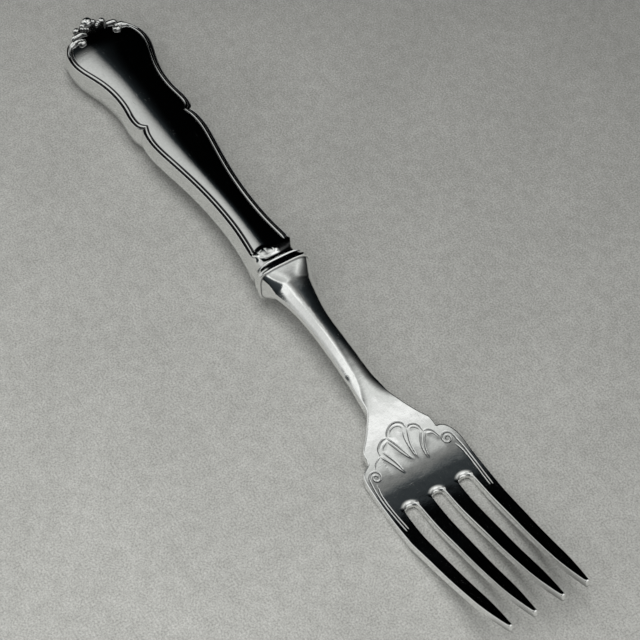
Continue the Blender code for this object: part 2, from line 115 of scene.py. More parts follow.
# Collar, bolster and neck
COLLAR_LENGTH = 1.4
BAND_WIDTH = 11.6
BAND_HEIGHT = 8.9
BAND_POWER = 3.3
RING_WIDTH = 12.3
RING_HEIGHT = 8.95
RING_POWER = 4.0
TANG_LENGTH = 48.0
TANG_WIDTH = 4.6
TANG_HEIGHT = 3.8
TANG_TIP = 2.2
TANG_FIT = 0.3
TANG_POWER = 6.0
FLANGE_LENGTH = 0.9
RIM_DROP = 0.42
GROOVE_LENGTH = 0.4
GROOVE_TARNISH = 0.85
TRUMPET_LENGTH = 17.0
NECK_LENGTH = 32.0
NECK_WIDTH = 5.5
NECK_HEIGHT = 4.3
RIDGE_POWER = 1.7
RIDGE_SHARE = 0.22

# Blade and tines
FLARE_LENGTH = 10.6
FLARE_WIDTH = 15.2
CLEFT_LENGTH = 2.3
CLEFT_WIDTH = 15.9
VOLUTE_LENGTH = 5.0
BLADE_WIDTH = 22.3
BLADE_THICKNESS = 1.9
SLOT_ROOT = 24.6
EDGE_RADIUS = 0.4
ROOT_BEVEL = 1.3
TINE_RADIUS = 0.28
TINE_LENGTH = 35.2
TINE_WIDTH = 3.4
POINT_LENGTH = 10.2
POINT_WIDTH = 2.55
TIP_WIDTH = 0.7
TIP_THICKNESS = 2.0
TIP_SINK = 0.35
TIP_FACET = 1.2
# Painted shade on the underside towards the tips, which also darkens their side walls
TIP_PAINTED_SHADE = 0.7
MIDDLE_SLOT = 2.7
OUTER_TINE = 9.45
TIP_GATHER = 1.08
NECK_EASE = 27.0
BELLY_LENGTH = 24.0
BELLY_EASE = 15.0
BELLY_DROP = 7.7
TIP_RISE = 9.3
TIP_SLOPE = math.radians(22.0)
TINE_EASE = 13.0

# Places along the axis
BOLSTER_X = HANDLE_LENGTH + COLLAR_LENGTH
TRUMPET_X = BOLSTER_X + FLANGE_LENGTH
NECK_X = TRUMPET_X + TRUMPET_LENGTH
NECK_END_X = BOLSTER_X + NECK_LENGTH
FLARE_X = NECK_END_X + FLARE_LENGTH
CLEFT_X = FLARE_X + CLEFT_LENGTH
VOLUTE_X = CLEFT_X + VOLUTE_LENGTH
ROOT_X = NECK_END_X + SLOT_ROOT
POINT_X = ROOT_X + TINE_LENGTH - POINT_LENGTH
TIP_X = ROOT_X + TINE_LENGTH
INNER_SPACING = MIDDLE_SLOT + TINE_WIDTH
BELLY_X = NECK_END_X + BELLY_LENGTH

# Front of the neck: slim up to the waist, gently wider up to the ease, and turning flat meanwhile
WAIST_X = 111.5
WAIST_REACH = 6.0
EASE_X = 122.8
EASE_WIDTH = 6.4
FLAT_X = 117.5
FLAT_LENGTH = 8.5

# Leaf at the mouth end of the panel, lower on the +Y side, with the hollow around it and painted shade in the
# recess on its +Y side
LEAF_X = 85.6
LEAF_HALF = 4.4
LEAF_HEIGHT = 0.4
LEAF_LOW = 0.3
LEAF_CLIMB = 1.6
FLUTE_PITCH = 1.5
FLUTE_DEPTH = 0.3
HOLLOW_DEPTH = 0.2
HOLLOW_LOW = 0.15
RECESS_START = 84.0
RECESS_END = 86.5
RECESS_PAINTED_SHADE = 0.9
ROLL_START = LEAF_X - 2.3
ROLL_LENGTH = 2.4

# The head stands a little to one side of the handle's axis, from the trumpet to the tines
HEAD_SWAY = -0.3
SWAY_START = 94.0
SWAY_RISE = 10.0
SWAY_END = 149.0
SWAY_FALL = 11.0

# Engraving of the blade: where it lies, lines of its shell and lobes, lobes' rise and end, run-in, tarnish
CARVED_START = 128.0
CARVED_END = 150.5
SHELL_LINES = 16
LOBE_LINES = 8
LOBE_RISE = 0.06
LOBE_END = 135.5
CUT_START = 0.08
CUT_RUN = 1.1
CARVED_TARNISH = 0.45

# Fineness of the meshes, and a distance that stands for no edge near
CURVE_STEPS = 26
PANEL_STEPS = 22
STRIP_STEPS = 52
UNDER_STEPS = 12
COLLAR_STEPS = 160
EDGE_STEPS = 2600
FINE_START = 127.0
FINE_END = 151.0
ROOT_REACH = 1.9
TIP_REACH = 0.5
CURVE_STEP = 0.05
SHARP_ANGLE = math.radians(60.0)
FAR = 9.0


# Curves

def lerp(a, b, s):
    return a + (b - a) * s


def smooth(s):
    s = np.clip(s, 0.0, 1.0)
    return s * s * (3.0 - 2.0 * s)


def shares(steps):
    return np.arange(1, steps + 1) / steps


def full_turn(count):
    return np.linspace(0.0, 2 * math.pi, count, endpoint=False)


def unit(vectors):
    return vectors / np.linalg.norm(vectors, axis=1)[:, None]


def lengths(line):
    """Length of a line up to each of its points."""
    return np.concatenate([[0.0], np.cumsum(np.linalg.norm(np.diff(line, axis=0), axis=1))])


def bezier(a, b, c, d, steps):
    s = shares(steps)[:, None]
    a, b, c, d = (np.array(p, float) for p in (a, b, c, d))
    return a * (1 - s) ** 3 + 3 * b * s * (1 - s) ** 2 + 3 * c * s * s * (1 - s) + d * s ** 3


def level_curve(start, end, reach_a, reach_b, steps):
    run = end[0] - start[0]
    return bezier(start, (start[0] + run * reach_a, start[1]), (end[0] - run * reach_b, end[1]), end, steps)


def ellipse_in(start, end, steps):
    a = 0.5 * math.pi * shares(steps)
    return np.stack([lerp(start[0], end[0], np.sin(a)), lerp(end[1], start[1], np.cos(a))], 1)


def ellipse_out(start, end, steps):
    a = 0.5 * math.pi * shares(steps)
    return np.stack([lerp(end[0], start[0], np.cos(a)), lerp(start[1], end[1], np.sin(a))], 1)


def scallop(start, end, bulge, steps):
    reach = bulge / 0.75 / math.dist(start, end)
    push = np.array([(start[1] - end[1]) * reach, (end[0] - start[0]) * reach])
    return bezier(start, start + push, end + push, end, steps)


def spline(points, step):
    """A smooth curve through a few points, sampled about every step millimetres."""
    p = np.array(points, float)
    q = np.vstack([2 * p[0] - p[1], p, 2 * p[-1] - p[-2]])
    out = [p[:1]]
    for k in range(1, len(q) - 2):
        count = max(2, int(np.linalg.norm(q[k + 1] - q[k]) / step))
        s = shares(count)[:, None]
        a, b, c, d = q[k - 1], q[k], q[k + 1], q[k + 2]
        bend, twist = 2 * a - 5 * b + 4 * c - d, 3 * b - a - 3 * c + d
        out.append(0.5 * (2 * b + (c - a) * s + bend * s ** 2 + twist * s ** 3))
    return np.vstack(out)


# Meshes and objects

def placed(points):
    """Points of the handle-axis frame, in the frame of the solids, in metres."""
    p = np.array(points, float)
    x = p[:, 0] * math.cos(TILT) - p[:, 2] * math.sin(TILT) + BUTT_X
    z = p[:, 0] * math.sin(TILT) + p[:, 2] * math.cos(TILT) + SEAM_Z
    return np.clip(np.stack([x, p[:, 1], z], 1) * MM, np.array(cad_box[0]), np.array(cad_box[1]))


def new_object(name, data):
    thing = bpy.data.objects.new(name, data)
    scene.collection.objects.link(thing)
    return thing


def new_piece(name, shape, nodes, material):
    """A piece of the fork from points, faces and darkening (oxide in the grooves, and painted shade), riding
    on the one body.
    """
    points, faces, tarnish_and_shade = shape
    mesh = bpy.data.meshes.new(name)
    mesh.from_pydata(placed(points).tolist(), [], [list(map(int, f)) for f in faces])
    mesh.attributes.new("tarnish_and_shade", "FLOAT", "POINT").data.foreach_set("value", np.array(tarnish_and_shade, np.float32))
    mesh.validate()
    mesh.shade_smooth()
    mesh.set_sharp_from_angle(angle=SHARP_ANGLE)
    mesh.materials.append(material)
    piece = new_object(name, mesh)
    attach(piece, "root")
    if nodes:
        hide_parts(*nodes)


def grid_faces(index, flip=False):
    """Quads over a two-dimensional array of point numbers."""
    a, b, c, d = index[:-1, :-1], index[1:, :-1], index[1:, 1:], index[:-1, 1:]
    quads = np.stack([a, d, c, b] if flip else [a, b, c, d], -1)
    return quads.reshape(-1, 4).tolist()


def closed(index):
    """An array of point numbers with its first column again at its end."""
    return np.hstack([index, index[:, :1]])


# Handle

def handle_outline():
    """Half of the plan at the seam from the tip of the crest to the mouth, and the count of crest points."""
    steps = CURVE_STEPS
    ball, bead, crest, butt, waist = ((at, width / 2) for at, width in (
        (BALL_LENGTH, BALL_WIDTH), (BEAD_AT, BEAD_WIDTH), (CREST_LENGTH, CREST_WIDTH), (BUTT_AT, BUTT_WIDTH),
        (WAIST_AT, WAIST_WIDTH)))
    bracket, notch, shoulder, throat, mouth = ((at, width / 2) for at, width in (
        (BRACKET_AT, BRACKET_WIDTH), (NOTCH_AT, NOTCH_WIDTH), (SHOULDER_AT, SHOULDER_WIDTH),
        (THROAT_AT, THROAT_WIDTH), (HANDLE_LENGTH, MOUTH_WIDTH)))
    runs = [np.zeros((1, 2)), ellipse_out((0.0, 0.0), ball, steps // 2)]
    runs += [scallop(ball, bead, SCALLOP, steps // 2), scallop(bead, crest, SCALLOP, steps // 2)]
    crest_count = sum(len(run) for run in runs)
    runs += [ellipse_out(crest, butt, steps), level_curve(butt, waist, 0.3, 0.5, steps)]
    runs += [level_curve(waist, bracket, 0.5, 0.4, steps // 2), ellipse_in(bracket, notch, steps)]
    runs += [ellipse_out(notch, shoulder, steps), level_curve(shoulder, throat, 0.2, 0.5, 2 * steps)]
    runs += [level_curve(throat, mouth, 0.5, 0.35, 3 * steps)]
    return np.vstack(runs), crest_count


def inward_directions(outline, reach=1.3):
    """Directions from the outline into the handle, eased over a reach so that the notch stays a cusp."""
    after = np.vstack([outline[1:], outline[-1:]])
    before = np.vstack([outline[:1], outline[:-1]])
    step = after - before
    raw = unit(np.stack([step[:, 1], -step[:, 0]], 1))
    raw[0], raw[-1] = (1.0, 0.0), (0.0, -1.0)
    run = lengths(outline)
    weight = np.exp(-((run[:, None] - run[None, :]) / reach * 1.5) ** 2)
    eased = unit((weight * np.gradient(run)[None, :]) @ raw)
    eased[0], eased[-1] = raw[0], raw[-1]
    return eased


def border_scale(x):
    """The threads keep their width up to the scrolls, and narrow under the crest."""
    return lerp(CREST_BORDER, 1.0, smooth((x - CREST_LENGTH + 0.4) / 2.2))


def panel_height(x):
    """Half of the height: it climbs fast behind the crest, then gently, and once more to the mouth."""
    climb = 1.0 - (1.0 - np.minimum(x / PANEL_CLIMB, 1.0)) ** 3
    rise = 1.0 - (1.0 - np.minimum(x / SHOULDER_AT, 1.0)) ** 2
    swell = smooth((x - SHOULDER_AT) / (HANDLE_LENGTH - SHOULDER_AT)) ** 2
    low = 2.0 * BUTT_HEIGHT - THROAT_HEIGHT
    body = lerp(CREST_HEIGHT, low, climb) + 2.0 * (THROAT_HEIGHT - BUTT_HEIGHT) * rise
    return (body + (MOUTH_HEIGHT - THROAT_HEIGHT) * swell) / 2


def border_profile():
    """The moulding from the seam inwards: inset, share of the roof's height, rise above it, and darkness of
    the oxide in it.
    """
    turns = np.linspace(0.0, 0.5 * math.pi, 14)
    wall = [(WALL_ROUND * (1 - math.cos(a)) + WALL_LEAN * math.sin(a), math.sin(a), 0.0, 0.0) for a in turns]
    groove = [(0.72, -0.01, 0.1), (0.77, -0.08, 0.7), (0.83, -0.20, 1.0), (0.92, -0.29, 1.0),
              (1.02, -0.31, 1.0), (1.11, -0.27, 1.0), (1.18, -0.16, 0.9), (1.23, -0.05, 0.4)]
    thread = [(1.50 + 0.25 * math.sin(a), 0.12 * math.cos(a), 0.0) for a in np.linspace(-1.25, 1.25, 9)]
    line = [(1.78, -0.02, 0.4), (1.83, -0.10, 0.9), (1.89, -0.14, 1.0), (1.95, -0.10, 0.9), (2.0, -0.02, 0.4),
            (2.06, 0.0, 0.0)]
    return wall + [(inset, 1.0, rise, dark) for inset, rise, dark in groove + thread + line]


def back_draft(x, share):
    """How far the wall of the back shell leans in at a share of its height, with a soft start at the seam."""
    lean = BACK_DRAFT * smooth((x - DRAFT_START) / DRAFT_RISE) * (1.0 - smooth((x - DRAFT_END) / DRAFT_FALL))
    return lean * (math.hypot(share, 0.1) - 0.1) / (math.hypot(1.0, 0.1) - 0.1)


def border_fade(x):
    """The threads run out at the leaf in front of the mouth."""
    return 1.0 - smooth((x - LEAF_X + 3.4) / 1.5)


LEAF_CREST = spline([(84.9, -4.4), (84.05, -2.6), (84.2, -1.2), (85.2, 0.8), (84.5, 2.6), (84.9, 4.4)], 0.1)
LEAF_FOOT = spline([(85.1, -4.4), (85.4, -2.9), (85.9, -1.5), (86.0, 0.5), (85.6, 2.6), (85.1, 4.4)], 0.1)


def leaf_relief(x, y):
    """Height of the fluted leaf over the panel, less the hollow between it and the collar."""
    crest = np.interp(y, LEAF_CREST[:, 1], LEAF_CREST[:, 0])
    foot = np.interp(y, LEAF_FOOT[:, 1], LEAF_FOOT[:, 0])
    mask = smooth((LEAF_HALF - np.abs(y)) / 0.7)
    climb = smooth((x - crest + LEAF_CLIMB) / LEAF_CLIMB)
    drop = 1.0 - smooth((x - crest) / (foot - crest))
    valley = (1.0 - np.abs(np.sin(math.pi * (y + 0.2) / FLUTE_PITCH))) ** 2
    flute = 1.0 - FLUTE_DEPTH * valley * smooth((x - crest + 0.9) / 0.6)
    hollow = smooth((x - foot + 0.4) / 0.7) * (1.0 - smooth((x - foot - 0.3) / (HANDLE_LENGTH - 0.3 - foot)))
    hollow = hollow * lerp(HOLLOW_LOW, 1.0, smooth((y + 4.0) / 1.6))
    height = LEAF_HEIGHT * lerp(1.0, LEAF_LOW, smooth((y - 0.4) / 1.2))
    return mask * (height * climb * drop * flute - HOLLOW_DEPTH * hollow)


def leaf_painted_shade(x, y):
    """Painted shade in the recess beside the leaf, on its +Y side only."""
    across = smooth((y - 0.5) / 0.7) * smooth((LEAF_HALF + 0.2 - y) / 0.4)
    along = smooth((x - RECESS_START) / 0.5) * (1.0 - smooth((x - RECESS_END) / 0.3))
    return RECESS_PAINTED_SHADE * across * along


def crest_painted_shade(x):
    """Painted shade: the ground of the crest is darkened between its ornaments."""
    return CREST_PAINTED_SHADE * (1.0 - smooth((x - CREST_LENGTH + 1.0) / 2.5))


def shell_points(side, hand):
    """Rows of the outside and inside of half a shell, laid out on the +Y side, and the darkening outside:
    oxide in the grooves, and painted shade.
    """
    outline, crest_count = handle_outline()
    directions = inward_directions(outline)
    fade = border_scale(outline[:, 0])
    at = np.arange(0.0, HANDLE_LENGTH + 0.5, 0.5)
    half = np.interp(at, outline[crest_count:, 0], outline[crest_count:, 1]) - PANEL_INSET
    ease = np.exp(-((at[:, None] - at[None, :]) / PANEL_EASE) ** 2)
    half = ease @ half / ease.sum(1)

    def roof(x, y):
        """Height of the crowned panel, also under the threads."""
        h = np.interp(np.maximum(x, BUTT_AT), at, half)
        back = np.maximum(BUTT_AT - x, 0.0) / (BUTT_AT - 1.5)
        crown = PANEL_CROWN * h * (1.0 - np.minimum((y / h) ** 2, 1.3) - back ** 2)
        return panel_height(x) - CROWN + np.maximum(crown, PANEL_LOW)

    def inwards(edge, s):
        """Plan of a row that lies a share of the way from an edge to the middle line."""
        return lerp(edge[:, 0], np.maximum(edge[:, 0], BUTT_AT), s), edge[:, 1] * (1 - s)

    outer, tarnish_and_shade = [], []
    roll = smooth((outline[:, 0] - ROLL_START) / ROLL_LENGTH)
    for inset, share, rise, dark in border_profile():
        eased = inset * (1.0 + 2.2 * roll) if share < 1.0 else inset + 1.5 * roll
        eased = eased * fade + (back_draft(outline[:, 0], share) if side < 0 else 0.0)
        x, y = (outline + directions * eased[:, None]).T
        y = np.maximum(y, 0.0)
        ebb = border_fade(x)
        z = roof(x, y) * share + rise * fade * ebb + leaf_relief(x, hand * y) * smooth((share - 0.6) / 0.4)
        outer.append(np.stack([x, y, z], 1))
        # Painted shade beside the leaf, taken together with the oxide of the grooves and the painted shade of
        # the crest
        painted_leaf_shade = leaf_painted_shade(x, hand * y) * smooth((share - 0.9) / 0.1)
        tarnish_and_shade.append(np.maximum(np.maximum(dark * ebb, share * crest_painted_shade(x)), painted_leaf_shade))
    outer[0][0, 1] = 0.0
    edge = outer[-1]
    for s in shares(PANEL_STEPS):
        x, y = inwards(edge, s)
        outer.append(np.stack([x, y, roof(x, y) + leaf_relief(x, hand * y)], 1))
        # Painted shade on the panel near the crest and in the recess beside the leaf
        tarnish_and_shade.append(np.maximum(crest_painted_shade(x), leaf_painted_shade(x, hand * y)))
    end_x = CREST_LENGTH + CREST_WALL
    corner_y = outline[crest_count, 1] + directions[crest_count, 1] * WALL
    order = np.arange(len(outline))
    inner = []
    for inset, share in ((0.0, 0.0), (WALL * 0.25, 0.36), (WALL, 0.7), (INNER_SHOULDER, 1.0)):
        place = outline + directions * (WALL + inset)
        place[:, 0] = np.clip(place[:, 0], end_x + inset, HANDLE_LENGTH)
        solid = order < crest_count
        place[solid, 0] = end_x + inset
        place[solid, 1] = corner_y * order[solid] / crest_count
        shoulder = panel_height(place[:, 0]) - CROWN - WALL
        inner.append(np.stack([place[:, 0], place[:, 1], shoulder * share], 1))
    for s in shares(2):
        x, y = inwards(inner[3], s)
        inner.append(np.stack([x, y, panel_height(x) - CROWN - WALL], 1))
    return outer, inner, tarnish_and_shade


def shell_mesh(side):
    """Points, faces and darkening of a whole shell, above the seam (side 1) or below it (side -1); the
    darkening is oxide in the grooves and painted shade.
    """
    points, faces, dark = [], [], []
    for hand in (1.0, -1.0):
        outer, inner, tarnish_and_shade = shell_points(side, hand)
        columns = len(outer[0])
        rows = []
        for row in outer + inner:
            p = row * (1.0, hand, 1.0)
            p[:, 2] = side * (p[:, 2] + SOLDER_FILM / 2)
            rows.append(p)
        first = sum(len(p) for p in points)
        points += rows
        index = first + np.arange(len(rows) * columns).reshape(len(rows), columns)
        top, under = index[:len(outer)], index[len(outer):]
        flip = hand * side < 0
        faces += grid_faces(top, flip) + grid_faces(under, not flip)
        faces += grid_faces(np.stack([under[0], top[0]]), flip)
        end = list(top[:, -1]) + list(under[::-1, -1])
        faces.append(end[::-1] if flip else end)
        dark += tarnish_and_shade + [np.zeros(columns)] * len(inner)
    return np.vstack(points), faces, np.concatenate(dark)


def seam_mesh():
    """The line of solder between the shells, flush with them."""
    outline, _ = handle_outline()
    inside = outline + inward_directions(outline) * WALL
    inside[:, 0] = np.minimum(inside[:, 0], HANDLE_LENGTH)
    inside[:, 1] = np.maximum(inside[:, 1], 0.0)
    half = SOLDER_FILM / 2
    rows = []
    for line, z in ((outline, -half), (outline, half), (inside, half), (inside, -half)):
        whole = np.vstack([line[::-1] * (1.0, -1.0), line[1:]])
        rows.append(np.column_stack([whole, np.full(len(whole), z)]))
    count = len(rows[0])
    index = np.arange(4 * count).reshape(4, count)
    faces = grid_faces(closed(index.T).T, True)
    faces += [list(index[:, 0]), list(index[::-1, -1])]
    return np.vstack(rows), faces, np.zeros(4 * count)


# Crest of the butt

def ball(centre, half, rings=18, around=28):
    """A closed ellipsoid, and how far each of its points lies towards its top or its bottom."""
    turn = full_turn(around)
    rows = []
    for a in np.linspace(0.0, math.pi, rings + 1)[1:-1]:
        level = np.full(around, np.cos(a))
        rows.append(np.stack([np.sin(a) * np.cos(turn), np.sin(a) * np.sin(turn), level], 1))
    lie = np.vstack(rows + [[(0, 0, 1), (0, 0, -1)]])
    points = lie * half + centre
    index = closed(np.arange((rings - 1) * around).reshape(rings - 1, around))
    top, low = len(points) - 2, len(points) - 1
    faces = grid_faces(index)
    faces += [(top, index[0, k], index[0, k + 1]) for k in range(around)]
    faces += [(low, index[-1, k + 1], index[-1, k]) for k in range(around)]
    return points, faces, lie[:, 2]


def sprig(path, radii, around=16):
    """A closed round rib along a curve, with a radius at each given point, and how far its points lie up."""
    line = spline(path, 0.12)
    knots = lengths(path)
    radius = np.interp(np.linspace(0.0, knots[-1], len(line)), knots, radii)
    way = unit(np.gradient(line, axis=0))
    across = unit(np.cross((0.0, 0.0, 1.0), way))
    above = np.cross(way, across)
    turn = full_turn(around)
    ring = np.cos(turn)[None, :, None] * across[:, None] + np.sin(turn)[None, :, None] * above[:, None]
    points = (line[:, None] + ring * radius[:, None, None]).reshape(-1, 3)
    index = np.arange(len(points)).reshape(len(line), around)
    faces = grid_faces(closed(index), True)
    return points, faces + [list(index[0]), list(index[-1][::-1])], ring.reshape(-1, 3)[:, 2]


def crest_mesh():
    """Pearl, side beads, leaves and the scrolls in which the threads begin, on the front and on the back."""
    shell_at, shell_faces, _ = shell_mesh(1.0)
    shell = bvhtree.BVHTree.FromPolygons(shell_at.tolist(), [list(map(int, f)) for f in shell_faces])

    def on_shell(x, y, lift):
        hit = shell.ray_cast((x, y, 20.0), (0.0, 0.0, -1.0))[0]
        return (x, y, (hit.z if hit else 1.0) + lift)

    leaf = [(6.0, 6.45), (5.5, 5.2), (5.25, 4.1), (5.35, 3.1), (6.3, 2.25)]
    scroll = [(10.2, 8.75), (8.8, 8.1), (7.75, 7.15), (7.15, 6.1), (7.05, 5.0), (7.35, 4.2), (8.0, 3.75),
              (8.55, 4.0), (8.5, 4.7), (8.25, 5.3)]
    ribs = [(leaf, (0.25, 0.55, 0.62, 0.5, 0.12), 0.2),
            (scroll, (0.1, 0.28, 0.42, 0.72, 0.6, 0.28, 0.28, 0.54, 0.7, 0.4), 0.18)]
    beads = [((1.95, 1.35, 1.75), 0.74), ((2.6, 3.2, 1.5), 0.92)]
    berries = [((3.4, 2.1), 0.5), ((3.95, 1.55), 0.42), ((4.45, 1.1), 0.34)]
    parts = []
    for side in (1.0, -1.0):
        parts.append(ball((1.35, 0.1, side * 1.55), (1.35, 1.5, 1.4)))
        for hand in (1.0, -1.0):
            for (x, y, z), r in beads + [(on_shell(*place, 0.1), r) for place, r in berries]:
                parts.append(ball((x, hand * y, side * z), (r, r, r)))
            for path, radii, lift in ribs:
                line = [on_shell(x, y, lift) for x, y in path]
                parts.append(sprig([(x, hand * y, side * z) for x, y, z in line], radii))
    points, faces, tarnish_and_shade = [], [], []
    for at, quads, lie in parts:
        first = sum(len(p) for p in points)
        points.append(at)
        faces += [[first + int(k) for k in quad] for quad in quads]
        # Painted shade: each ornament is darkened where its surface faces sideways, leaving its top and
        # bottom bright
        tarnish_and_shade.append(0.95 * (1.0 - smooth((np.abs(lie) - 0.2) / 0.5)))
    return np.vstack(points), faces, np.concatenate(tarnish_and_shade)


# Head

def dip_curve():
    """The head's middle line from the side: down from the trumpet to the belly, then up to the tips."""
    start = TRUMPET_X + TRUMPET_LENGTH / 2
    low = (BELLY_X, -BELLY_DROP)
    down = bezier((start, 0.0), (start + NECK_EASE, 0.0), (BELLY_X - BELLY_EASE, -BELLY_DROP), low, 200)
    tip = (TIP_X, TIP_RISE - BELLY_DROP)
    handle = (TIP_X - TINE_EASE * math.cos(TIP_SLOPE), tip[1] - TINE_EASE * math.sin(TIP_SLOPE))
    up = bezier(low, (BELLY_X + TINE_EASE, -BELLY_DROP), handle, tip, 200)
    return np.vstack([[(start, 0.0)], down, up])


DIP = dip_curve()


def spine_height(x):
    return np.interp(x, DIP[:, 0], DIP[:, 1])


def tine_half_width(x):
    shaft = lerp(TINE_WIDTH, POINT_WIDTH, (x - ROOT_X) / (POINT_X - ROOT_X))
    s = np.clip((x - POINT_X) / POINT_LENGTH, 0.0, 1.0)
    point = lerp(POINT_WIDTH, TIP_WIDTH, s ** 1.75)
    blunt = np.sqrt(np.clip(1.0 - np.clip((x - TIP_X + 0.3) / 0.31, 0.0, 1.0) ** 2, 0.0, 1.0))
    return np.where(x < POINT_X, shaft, point * blunt) / 2


def outer_tine_middle(x):
    s = np.clip((x - ROOT_X) / TINE_LENGTH, 0.0, 1.0)
    return OUTER_TINE - TIP_GATHER * np.clip(1.25 * s - 0.16, 0.0, None) ** 1.1 / 1.09 ** 1.1


def head_outline():
    """Half of the head's plan from the rim to the widest place of the blade."""
    rim = (TRUMPET_X, RING_WIDTH / 2 - RIM_DROP)
    neck = (NECK_X, NECK_WIDTH / 2)
    neck_end = (WAIST_X, NECK_WIDTH / 2)
    ease = (EASE_X, EASE_WIDTH / 2)
    flare = (FLARE_X, FLARE_WIDTH / 2)
    cleft = (CLEFT_X, CLEFT_WIDTH / 2)
    volute = (VOLUTE_X, BLADE_WIDTH / 2)
    rim_handle = (TRUMPET_X + TRUMPET_LENGTH * 0.16, lerp(rim[1], neck[1], 0.34))
    runs = [[rim], bezier(rim, rim_handle, (NECK_X - TRUMPET_LENGTH * 0.52, neck[1]), neck, 80)]
    ahead = (WAIST_X + WAIST_REACH, neck_end[1])
    runs += [[neck_end], bezier(neck_end, ahead, (EASE_X - 2.3, ease[1] - 0.28), ease, 60)]
    runs += [bezier(ease, (EASE_X + 1.8, ease[1] + 0.22), (FLARE_X - 1.8, flare[1] - 1.55), flare, 80)]
    runs += [bezier(flare, (FLARE_X + 0.3, flare[1] + 0.2), (CLEFT_X - 0.8, cleft[1]), cleft, 30)]
    runs += [ellipse_out(cleft, volute, 80)]
    return np.vstack(runs)


OUTLINE = head_outline()


def half_width(x):
    body = np.interp(x, OUTLINE[:, 0], OUTLINE[:, 1])
    return np.where(x < ROOT_X, body, outer_tine_middle(x) + tine_half_width(x))


# On the -Y side the flare begins later and its shoulder lies further forward
LEFT_EDGE = spline([
    (117.0, -3.05), (121.0, -3.05), (123.5, -3.08), (125.2, -3.3), (127.5, -4.85), (129.2, -6.2),
    (130.8, -7.7), (131.5, -8.2), (132.5, -8.42), (133.4, -8.5), (133.95, -8.75), (134.35, -9.4),
    (134.8, -10.15), (135.4, -10.65), (136.4, -10.97), (138.0, -11.12), (140.0, -11.15)], CURVE_STEP)
LEFT_EDGE[:, 0] = np.maximum.accumulate(LEFT_EDGE[:, 0])


def swayed(x, y):
    """Y on the real head of a place on the even plan: the sway to one side, and the left edge's own line."""
    w = half_width(x)
    shift = HEAD_SWAY * smooth((x - SWAY_START) / SWAY_RISE) * (1.0 - smooth((x - SWAY_END) / SWAY_FALL))
    low, high = np.maximum(shift - w, -BLADE_WIDTH / 2), shift + w
    behind = (x > LEFT_EDGE[0, 0]) & (x < LEFT_EDGE[-1, 0])
    low = np.where(behind, np.interp(x, LEFT_EDGE[:, 0], LEFT_EDGE[:, 1]), low)
    share = np.where(w > 0.0, y / np.maximum(w, 1e-9), 0.0)
    return lerp(low, high, 0.5 + 0.5 * share) + (shift - 0.5 * (low + high)) * (1.0 - share * share)


def half_thickness(x):
    s = (x - TRUMPET_X) / TRUMPET_LENGTH
    trumpet = lerp(RING_HEIGHT / 2 - RIM_DROP, NECK_HEIGHT / 2, 1.0 - (1.0 - s) ** 3)
    neck = lerp(NECK_HEIGHT, BLADE_THICKNESS, smooth((x - NECK_X) / (VOLUTE_X - NECK_X))) / 2
    blade = lerp(BLADE_THICKNESS, TIP_THICKNESS, (x - VOLUTE_X) / (TIP_X - VOLUTE_X)) / 2
    return np.where(x < NECK_X, trumpet, np.where(x < VOLUTE_X, neck, blade))


def middle_height(x):
    """Middle of the sheet: it sinks below the spine towards the tips."""
    return spine_height(x) - TIP_SINK * np.clip((x - VOLUTE_X) / (TIP_X - VOLUTE_X), 0.0, 1.0)


def section_power(x):
    """Boxy at the rim of the trumpet, with a soft ridge along the neck."""
    return lerp(RING_POWER, RIDGE_POWER, smooth((x - TRUMPET_X) / (TRUMPET_LENGTH * RIDGE_SHARE)))


def slot_edges(x, slot):
    """Lower and upper edge of slot 0, 1 or 2 from -Y to +Y; before its root both are its middle line."""
    inner = INNER_SPACING / 2
    half = tine_half_width(x)
    if slot == 1:
        middle, open_half, root_half = 0.0 * x, inner - half, MIDDLE_SLOT / 2
    else:
        low, high = inner + half, outer_tine_middle(x) - half
        middle, open_half = (slot - 1) * (low + high) / 2, (high - low) / 2
        root_half = (OUTER_TINE - inner - TINE_WIDTH) / 2
    s = np.clip((ROOT_X + root_half - x) / root_half, 0.0, 1.0)
    open_half = np.where(x <= ROOT_X, 0.0, open_half * np.sqrt(1.0 - s * s))
    return middle - open_half, middle + open_half


def head_stations():
    """Places along the head, closer where engraving, cleft, slot roots and tips need it."""
    trumpet = TRUMPET_X + TRUMPET_LENGTH * shares(60) ** 1.6
    neck = np.linspace(NECK_X, FINE_START, 40)[1:]
    blade = np.linspace(FINE_START, ROOT_X, 170)[1:]
    cleft = CLEFT_X + VOLUTE_LENGTH * (1.0 - np.cos(np.linspace(0.02, 0.5, 10)))
    root = ROOT_X + ROOT_REACH * (1.0 - np.cos(np.linspace(0.0, 0.5 * math.pi, 26)[1:]))
    engraved = np.linspace(ROOT_X + ROOT_REACH, FINE_END, 50)[1:]
    shaft = np.linspace(FINE_END, POINT_X, 46)[1:]
    point = np.linspace(POINT_X, TIP_X - TIP_REACH, 26)[1:]
    tip = TIP_X - TIP_REACH + TIP_REACH * np.sin(0.5 * math.pi * shares(9))
    runs = [[TRUMPET_X], trumpet, neck, blade, cleft, root, engraved, shaft, point, tip]
    return np.unique(np.concatenate(runs))


